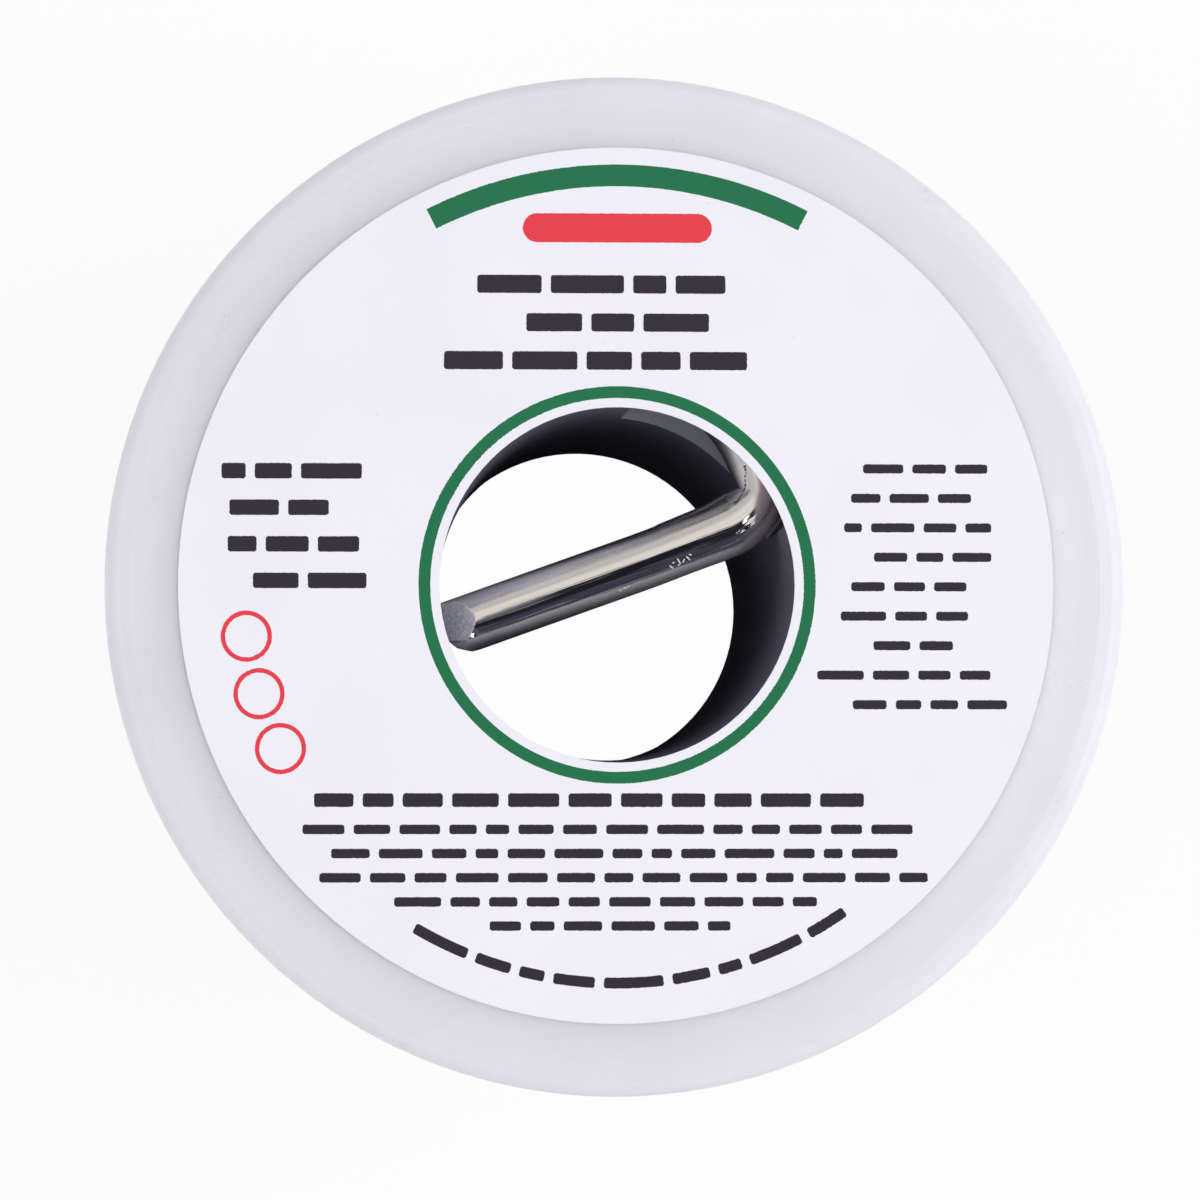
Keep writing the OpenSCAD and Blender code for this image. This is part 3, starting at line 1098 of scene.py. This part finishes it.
DENTS = [       # place, radius, depth, and how much longer than wide
    ((-0.13, 1.58, bend_end - 1.16), 0.20, 0.07, 2.6),
    ((-0.37, 1.54, bend_end - 0.50), 0.12, 0.04, 3.0),
    ((-0.64, 1.45, tip_along - 0.34), 0.27, 0.11, 1.0),
]

# %% Mix the solder of the inner end
end_solder = solder(
    "inner_end_solder",
    0.09,
    0.02 * MM,
    (SOLDER, SOLDER_DARK),
    "X",
    (0.66, 1.16),
    fades=(bend_end, tip_along),
    scratches=SCRATCHES,
    pits=PITS,
    dents=DENTS,
    bend=(bend_start, bend_end),
)
report(end_solder)

# %% Mix the solder of a cut face
CUT_DARK = (0.62, 0.62, 0.70, 1)
CUT_PALE = (0.95, 0.945, 1.0, 1)
CUT_PIT = (0.30, 0.30, 0.36, 1)


def cut_solder():
    """The matt, slightly torn face that cutters leave."""
    material, tree, shader = new_material("cut_solder", Metallic=0.05)
    place = millimetres(tree)
    grain = noise(tree, place, 5.0, detail=4)
    colour = mix(tree, ramp(tree, grain, 0.3, 0.7), CUT_DARK, CUT_PALE)
    pit = ramp(tree, noise(tree, place, 7.0, detail=2), 0.60, 0.68)
    colour = mix(tree, calc(tree, "MULTIPLY", pit, 0.45), colour, CUT_PIT)
    join(tree, shader.inputs["Base Color"], colour)
    join(tree, shader.inputs["Roughness"], ramp(tree, grain, 0.3, 0.7, 0.42, 0.58))
    join(tree, shader.inputs["Normal"], bump(tree, grain, 0.03 * MM))
    return material


cut_face = cut_solder()
report(cut_face)

# %% [markdown]
# ## The label
# The label is coated paper, printed in three inks. Nothing on it is a word: short rounded bars in
# rows stand where the small print goes, a green band follows the top edge, a red stripe lies
# under it, and a green ring frames the hole. All of it is arithmetic on the place in
# millimetres. A bar is where the distance from the middle of its row is less than half of its
# height, and its words are the cells of a one-dimensional Voronoi pattern, which have uneven
# lengths as words have.


# %% Distances and simple shapes
def far(tree, across, upwards):
    """The distance from a place that is this far off across and upwards."""
    square = calc(tree, "ADD", calc(tree, "POWER", across, 2), calc(tree, "POWER", upwards, 2))
    return calc(tree, "SQRT", square)


def distance_to(tree, x, y, place):
    return far(tree, calc(tree, "SUBTRACT", x, place[0]), calc(tree, "SUBTRACT", y, place[1]))


def pill(tree, x, y, place, half_length, half_height):
    """A stripe with round ends."""
    off = calc(tree, "ABSOLUTE", calc(tree, "SUBTRACT", x, place[0]))
    past = calc(tree, "MAXIMUM", calc(tree, "SUBTRACT", off, half_length - half_height), 0)
    upwards = calc(tree, "SUBTRACT", y, place[1])
    return calc(tree, "LESS_THAN", far(tree, past, upwards), half_height)


# %% Rows of print
WORD_GAP = 0.5           # millimetres, as are all sizes on the label
BAR_ROUND = 0.16
ROW_SHIFT = 17.3         # moves each row along the pattern of words, so that no two are alike


def rows_of_words(tree, x, y, spread, first, rows, pitch, bar, word, seed, ragged):
    """Rows of bars. spread is the middle and the half width of the rows.

    first is the first row's height, pitch lies between two rows, bar is the height of a bar, and
    word is the length of a bar and its gap. ragged is how much shorter a row may be, as a share.
    """
    middle, half_width = spread
    level = calc(tree, "MULTIPLY_ADD", y, -1 / pitch, first / pitch + 0.5)
    row = calc(tree, "FLOOR", level)
    above = calc(tree, "MULTIPLY", off_middle(tree, calc(tree, "FRACT", level)), pitch)
    luck = add(tree, "ShaderNodeTexWhiteNoise", noise_dimensions="1D")
    join(tree, luck.inputs["W"], calc(tree, "ADD", row, seed))
    reach = ramp(tree, luck.outputs["Value"], 0, 1, half_width * (1 - ragged), half_width)
    shift = calc(tree, "MULTIPLY_ADD", row, ROW_SHIFT, seed)
    along = calc(tree, "MULTIPLY_ADD", x, 1 / word, shift)
    cells = {"Scale": 1.0, "W": along, "Randomness": 0.8}
    kind = {"voronoi_dimensions": "1D", "feature": "DISTANCE_TO_EDGE"}
    to_edge = add(tree, "ShaderNodeTexVoronoi", cells, **kind).outputs["Distance"]
    kind["feature"] = "F1"
    nearest = add(tree, "ShaderNodeTexVoronoi", cells, **kind).outputs["W"]
    word_place = calc(tree, "MULTIPLY", calc(tree, "SUBTRACT", nearest, shift), word)
    from_middle = calc(tree, "ABSOLUTE", calc(tree, "SUBTRACT", word_place, middle))
    in_row = calc(tree, "LESS_THAN", from_middle, calc(tree, "SUBTRACT", reach, word / 2))
    past_end = calc(tree, "MULTIPLY_ADD", to_edge, -word, WORD_GAP / 2 + BAR_ROUND)
    past_end = calc(tree, "MAXIMUM", past_end, 0)
    past_side = calc(tree, "SUBTRACT", calc(tree, "ABSOLUTE", above), bar / 2 - BAR_ROUND)
    past_side = calc(tree, "MAXIMUM", past_side, 0)
    ink = calc(tree, "LESS_THAN", far(tree, past_end, past_side), BAR_ROUND)
    ink = calc(tree, "MULTIPLY", ink, in_row)
    ink = calc(tree, "MULTIPLY", ink, calc(tree, "GREATER_THAN", row, -0.5))
    return calc(tree, "MULTIPLY", ink, calc(tree, "LESS_THAN", row, rows - 0.5))


CURVED_ROW_R = 21.8
BLACK_ROWS = [   # middle and half width, first height, rows, pitch, bar, word, seed, ragged
    ((-0.6, 10.2), 16.5, 3, 2.1, 1.0, 3.6, 3.0, 0.12),
    ((-17.2, 6.2), 6.2, 4, 2.0, 0.85, 2.8, 11.0, 0.35),
    ((16.4, 5.9), 6.4, 9, 1.62, 0.5, 2.3, 23.0, 0.3),
    ((-0.5, 16.8), -11.8, 1, 1.4, 0.75, 2.8, 31.0, 0.0),
    ((-0.5, 18.2), -13.4, 3, 1.32, 0.52, 2.4, 41.0, 0.08),
    ((-0.5, 14.0), -17.36, 1, 1.32, 0.52, 2.4, 47.0, 0.08),
    ((-0.5, 8.6), -18.68, 1, 1.32, 0.52, 2.4, 53.0, 0.08),
]
BOW_ROW = ((0.3, 14.0), -CURVED_ROW_R, 1, 2.0, 0.6, 2.8, 61.0, 0.0)
print("rows of print:", sum(row[2] for row in BLACK_ROWS), "and one that follows the edge")

# %% Print the label
PAPER = (0.865, 0.855, 0.935, 1)
PAPER_PALE = (0.885, 0.875, 0.95, 1)
PAPER_SPECK = (0.45, 0.45, 0.5, 1)
INK_BLACK = (0.024, 0.018, 0.030, 1)
INK_GREEN = (0.007, 0.165, 0.065, 1)
INK_RED = (0.80, 0.045, 0.070, 1)
TREMBLE = 0.07                    # how unsteady the edge of the ink is
BAND_R = (21.9, 23.1)
BAND_ANGLE = math.radians(27)
HOLE_RING_R = (10.25, 10.9)
STRIPE = ((0, 19.6), 5.2, 0.8)    # its middle, and half of its length and of its height
RINGS_AT = [(20.5, degrees) for degrees in (188, 197, 206)]
RING_R = (1.15, 1.4)


def red_shapes(tree, x, y):
    shapes = [pill(tree, x, y, *STRIPE)]
    for radius, degrees in RINGS_AT:
        turn = math.radians(degrees)
        place = (radius * math.cos(turn), radius * math.sin(turn))
        shapes.append(between(tree, distance_to(tree, x, y, place), *RING_R))
    return any_of(tree, *shapes)


def printed_paper():
    material, tree, shader = new_material("label_paper", Roughness=0.5, IOR=1.45)
    place = millimetres(tree)
    parts = add(tree, "ShaderNodeSeparateXYZ", {"Vector": place})
    tremble = off_middle(tree, noise(tree, place, 9.0, detail=2))
    edge = calc(tree, "MULTIPLY", tremble, TREMBLE)
    x = calc(tree, "ADD", parts.outputs["X"], edge)
    y = calc(tree, "SUBTRACT", parts.outputs["Y"], edge)
    radius = distance_to(tree, x, y, (0, 0))
    from_top = calc(tree, "ARCTAN2", x, y)
    from_bottom = calc(tree, "ARCTAN2", x, calc(tree, "MULTIPLY", y, -1))
    bow = calc(tree, "MULTIPLY", from_bottom, CURVED_ROW_R)
    outwards = calc(tree, "MULTIPLY", radius, -1)
    rows = [rows_of_words(tree, x, y, *row) for row in BLACK_ROWS]
    black_ink = any_of(tree, *rows, rows_of_words(tree, bow, outwards, *BOW_ROW))
    at_top = between(tree, from_top, -BAND_ANGLE, BAND_ANGLE)
    band = calc(tree, "MULTIPLY", between(tree, radius, *BAND_R), at_top)
    green_ink = any_of(tree, band, between(tree, radius, *HOLE_RING_R))
    red_ink = red_shapes(tree, x, y)
    cloud = noise(tree, place, 0.15, detail=3)
    sheet = mix(tree, ramp(tree, cloud, 0.35, 0.65), PAPER, PAPER_PALE)
    speck = calc(tree, "GREATER_THAN", noise(tree, place, 2.3, detail=1), 0.815)
    colour = mix(tree, calc(tree, "MULTIPLY", speck, 0.4), sheet, PAPER_SPECK)
    for ink, tint in ((green_ink, INK_GREEN), (red_ink, INK_RED), (black_ink, INK_BLACK)):
        colour = mix(tree, ink, colour, tint)
    join(tree, shader.inputs["Base Color"], colour)
    printed = any_of(tree, black_ink, green_ink, red_ink)
    join(tree, shader.inputs["Roughness"], ramp(tree, printed, 0, 1, 0.52, 0.38))
    fibre = noise(tree, place, 7.0, detail=4)
    join(tree, shader.inputs["Normal"], bump(tree, fibre, 0.006 * MM))
    return material


paper = printed_paper()
report(paper)

# %% [markdown]
# ## Dress the pieces
# A solid whose shape is right keeps it and only gets a finish. The wound wire and its inner end
# are hidden, and the new pieces stand for them.


# %% Give each solid its finish
def dress(piece, *materials):
    """Puts the materials in the piece's slots, in order."""
    while len(piece.data.materials) < len(materials):
        piece.data.materials.append(None)
    for i, material in enumerate(materials):
        piece.data.materials[i] = material
    print(piece.name, "has:", ", ".join(material.name for material in materials))


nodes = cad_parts
dress(nodes["front_flange"], milky)
dress(nodes["rear_flange"], milky)
dress(nodes["hub_tube"], black)
dress(nodes["front_label"], paper)
dress(nodes["rear_label"], paper)

# %% Give each new piece its finish and its place
dress(outer_turns, wound_solder, cut_face)
dress(lower_turns, wound_solder)
dress(drum, wound_solder)
dress(inner_end, end_solder, cut_face)
for piece in (outer_turns, lower_turns, drum, inner_end):
    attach(piece, "root")
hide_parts("solder_outer_layer")
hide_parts("solder_inner_layers")
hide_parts("solder_inner_layers")
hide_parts("solder_inner_end")

# %% [markdown]
# ## Floor, light and camera
# The spool stands on a pale floor that fades into a white surround. Two soft panels hang to its
# left and right, and the surround fills the shadows. Metal shows whatever stands round it, so
# the surround that it mirrors is painted too: a bright half at the back and left, a dark ceiling
# for the rest, and the pale background near the horizon. The left panel is hidden from the
# metal, where it would be one more bright spot.

# %% Lay the floor
FLOOR_R = 1.5
FLOOR_SIDES = 96
FLOOR_PAINT = (0.86, 0.86, 0.87, 1)
FLOOR_SHOWN = 0.9            # how much of the floor is plain white to the camera
BORE_SHOWN_IN_SHADOW = 0.98            # the same, higher where the floor is seen through the bore: painted light over the spool's shadow there
BORE_R = 12 * MM
SHADOW_R = (0.03, 0.08)      # metal mirrors the shadow up to here, and the white from here


def kinds_of_ray(tree):
    """Two masks: the rays from the camera, and the rays that shiny or clear surfaces send on."""
    path = add(tree, "ShaderNodeLightPath").outputs
    sent_on = calc(tree, "ADD", path["Is Glossy Ray"], path["Is Transmission Ray"])
    return path["Is Camera Ray"], sent_on


def mix_shaders(tree, share, first, second):
    sockets = {0: share, 1: first.outputs[0], 2: second.outputs[0]}
    return add(tree, "ShaderNodeMixShader", sockets)


def lay_floor():
    deselect_all()
    bpy.ops.mesh.primitive_circle_add(vertices=FLOOR_SIDES, radius=FLOOR_R, fill_type="NGON")
    floor = bpy.context.object
    floor.name = "floor"
    material, tree, shader = new_material("floor_paint", Roughness=0.9, Base_Color=FLOOR_PAINT)
    white = add(tree, "ShaderNodeEmission", {"Strength": 1.0})
    from_camera, sent_on = kinds_of_ray(tree)
    place = add(tree, "ShaderNodeTexCoord").outputs["Object"]
    radius = add(tree, "ShaderNodeVectorMath", {0: place}, operation="LENGTH").outputs["Value"]
    # whiter under the bore, which paints light over the shadow that the spool casts there
    shown = ramp(tree, radius, BORE_R, 2 * BORE_R, BORE_SHOWN_IN_SHADOW, FLOOR_SHOWN)
    share = calc(tree, "MULTIPLY", from_camera, shown)
    mirrored = ramp(tree, radius, *SHADOW_R, 0, FLOOR_SHOWN)
    share = calc(tree, "MULTIPLY_ADD", sent_on, mirrored, share)
    blend = mix_shaders(tree, share, shader, white)
    tree.links.new(blend.outputs[0], tree.nodes["Material Output"].inputs["Surface"])
    floor.data.materials.append(material)
    return floor


floor = lay_floor()
print(floor.name, "across, m:", [round(size, 2) for size in floor.dimensions[:2]])

# %% Hang the lamps
PANEL_TINT = (1.0, 0.975, 0.93)
AIM = (0, 0, 0.04)           # near the top of the spool


def hang_lamp(name, place, size, watts, colour=(1, 1, 1)):
    """A square panel of the given size, turned to the spool."""
    lamp_data = bpy.data.lights.new(name, "AREA")
    lamp_data.shape = "RECTANGLE"
    lamp_data.size = size
    lamp_data.size_y = size
    lamp_data.energy = watts
    lamp_data.color = colour
    lamp = bpy.data.objects.new(name, lamp_data)
    bpy.context.scene.collection.objects.link(lamp)
    lamp.location = place
    lamp.rotation_euler = (Vector(AIM) - Vector(place)).to_track_quat("-Z", "Y").to_euler()
    print(name, "watts:", watts, "metres away:", round((Vector(place) - Vector(AIM)).length, 2))
    return lamp


panel = hang_lamp("left_panel", (-0.42, -0.14, 0.56), 0.75, 2.0, PANEL_TINT)
panel.visible_glossy = False      # metal mirrors the painted surround instead
hang_lamp("right_panel", (0.54, 0.02, 0.52), 0.6, 3.35)

# %% List the bands of the surround
WORLD_TINT = (0.965, 0.97, 1.0, 1)
ZENITH_LIGHT = 0.30      # what falls on the spool from straight above
HORIZON_LIGHT = 0.69
DARK_HALF = [            # what metal mirrors: height of the direction, and brightness
    (0.00, 0.85),
    (0.22, 0.70),
    (0.40, 0.035),
    (0.62, 0.055),
    (0.78, 0.05),
    (0.90, 0.012),
]
BRIGHT_HALF = [
    (0.00, 0.85),
    (0.22, 0.60),
    (0.46, 0.45),
    (0.62, 0.66),
    (0.80, 0.62),
    (0.90, 0.90),
]
BRIGHT_SIDE = (-0.6, 0.8, 0)
HALF_EDGE = (0.03, 0.07)     # the halves blend between these distances from the middle plane
BLUISH = (1, 1, 1.6)         # the tint of the dark ceiling
DARK = 0.1                   # a band darker than this has the dark tint


def colour_bands(tree, height, bands, tint, dark_tint):
    node = add(tree, "ShaderNodeValToRGB", {"Fac": height})
    stops = node.color_ramp.elements
    stops.remove(stops[0])
    for i, (place, brightness) in enumerate(bands):
        band_tint = tint if brightness > DARK else dark_tint
        stop = stops[0] if i == 0 else stops.new(place)
        stop.position = place
        stop.color = (*(brightness * part for part in band_tint), 1)
    return node.outputs["Color"]


print("bands in each half:", len(DARK_HALF), len(BRIGHT_HALF))


# %% Paint the surround
def paint_world():
    world = bpy.data.worlds.new("surround")
    bpy.context.scene.world = world
    world.use_nodes = True
    tree = world.node_tree
    tree.nodes.clear()
    direction = add(tree, "ShaderNodeTexCoord").outputs["Generated"]
    height = add(tree, "ShaderNodeSeparateXYZ", {"Vector": direction}).outputs["Z"]
    light = ramp(tree, height, 0, 1, HORIZON_LIGHT, ZENITH_LIGHT)
    soft = add(tree, "ShaderNodeBackground", {"Color": WORLD_TINT, "Strength": light})
    dark = colour_bands(tree, height, DARK_HALF, (1, 1, 1), BLUISH)
    bright = colour_bands(tree, height, BRIGHT_HALF, PANEL_TINT, PANEL_TINT)
    values = {0: direction, 1: BRIGHT_SIDE}
    side = add(tree, "ShaderNodeVectorMath", values, operation="DOT_PRODUCT").outputs["Value"]
    bands = mix(tree, ramp(tree, side, *HALF_EDGE), dark, bright)
    mirrored = add(tree, "ShaderNodeBackground", {"Color": bands, "Strength": 1.0})
    white = add(tree, "ShaderNodeBackground", {"Color": (1, 1, 1, 1), "Strength": 1.0})
    from_camera, sent_on = kinds_of_ray(tree)
    other = mix_shaders(tree, sent_on, soft, mirrored)
    final = mix_shaders(tree, from_camera, other, white)
    output = add(tree, "ShaderNodeOutputWorld")
    tree.links.new(final.outputs[0], output.inputs["Surface"])
    return world


print("nodes in the surround:", len(paint_world().node_tree.nodes))

# %% Place the camera
LENS_MM = 189.3
SENSOR_MM = 36
CAMERA_PLACE = Vector((-19.93, -12.87, 389.36)) * MM
CAMERA_TILT = (math.radians(1.994), math.radians(-3.148), 0)


def place_camera():
    data = bpy.data.cameras.new("camera")
    data.lens = LENS_MM
    data.sensor_width = SENSOR_MM
    data.clip_start = 0.01
    data.clip_end = 20
    camera = bpy.data.objects.new("camera", data)
    bpy.context.scene.collection.objects.link(camera)
    camera.location = CAMERA_PLACE
    camera.rotation_euler = CAMERA_TILT
    bpy.context.scene.camera = camera
    return camera


camera = place_camera()
bpy.context.scene.view_settings.view_transform = "Standard"
